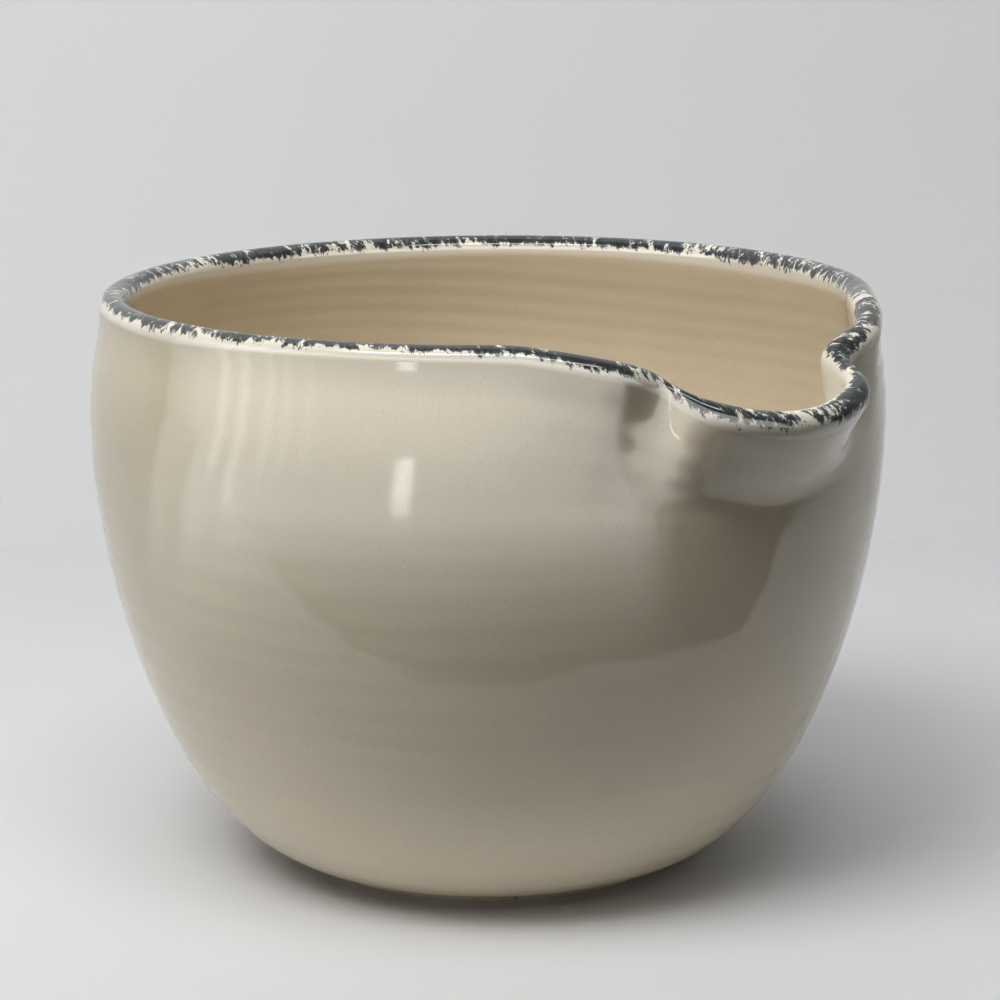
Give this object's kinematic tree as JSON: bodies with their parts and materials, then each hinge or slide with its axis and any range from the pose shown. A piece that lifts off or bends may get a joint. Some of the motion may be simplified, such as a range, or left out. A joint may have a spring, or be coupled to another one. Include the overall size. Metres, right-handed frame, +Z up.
{
  "type": "batter bowl",
  "caption": "Round-bellied stoneware batter bowl with a thick rolled lip, a pinched pouring spout, cream glaze inside and out and a sponged dark rim.",
  "frame": {"origin": "centre of the foot ring, in the plane it rests on", "axes": "+Z up out of the mouth, +X towards the pouring spout, mirror plane XZ"},
  "size_m": [0.2346, 0.22, 0.161],
  "materials": {
    "stoneware_clay": "bare fired stoneware, matt, fine speckle",
    "cream_glaze": "glossy cream glaze with fine brown pin specks",
    "liner_glaze": "glossy cream liner glaze over faint throwing rings",
    "sponged_colour": "glossy charcoal blue-green sponged colour with ragged cream gaps"
  },
  "bodies": {
    "root": {"stoneware_body": "stoneware_clay", "outside_glaze": "cream_glaze", "inside_glaze": "liner_glaze", "sponged_rim": "sponged_colour"}
  },
  "joints": []
}
